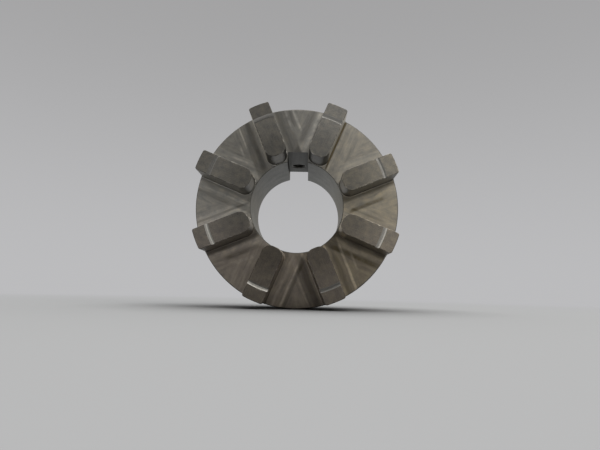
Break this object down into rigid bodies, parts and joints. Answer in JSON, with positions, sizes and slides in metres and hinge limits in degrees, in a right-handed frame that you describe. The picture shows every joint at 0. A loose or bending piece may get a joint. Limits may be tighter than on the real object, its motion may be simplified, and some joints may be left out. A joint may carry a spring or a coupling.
{
  "type": "jaw coupling hub",
  "caption": "One half of a jaw coupling: a flanged steel hub with narrow radial jaws on its face, a keyed through bore and a socket set screw over the keyway.",
  "frame": {"origin": "on the bore axis, half way between the jaw tips and the back face of the boss", "axes": "+Y along the bore axis from the jaws to the boss, so the jaws face -Y; +Z from the bore axis through the keyway and the set screw; X across the shaft"},
  "size_m": [0.1524, 0.0858, 0.1524],
  "materials": {
    "machined_steel": "milled and turned, dulled by oil and handling",
    "black_oxide_steel": "black oxide, satin"
  },
  "bodies": {
    "hub": {"coupling_hub": "machined_steel"},
    "screw": {"set_screw": "black_oxide_steel"}
  },
  "joints": [
    {"name": "set_screw_travel", "type": "slide", "parent": "hub", "child": "screw", "axis": [0, 0, 1], "range_m": [-0.0033, 0.012]}
  ]
}
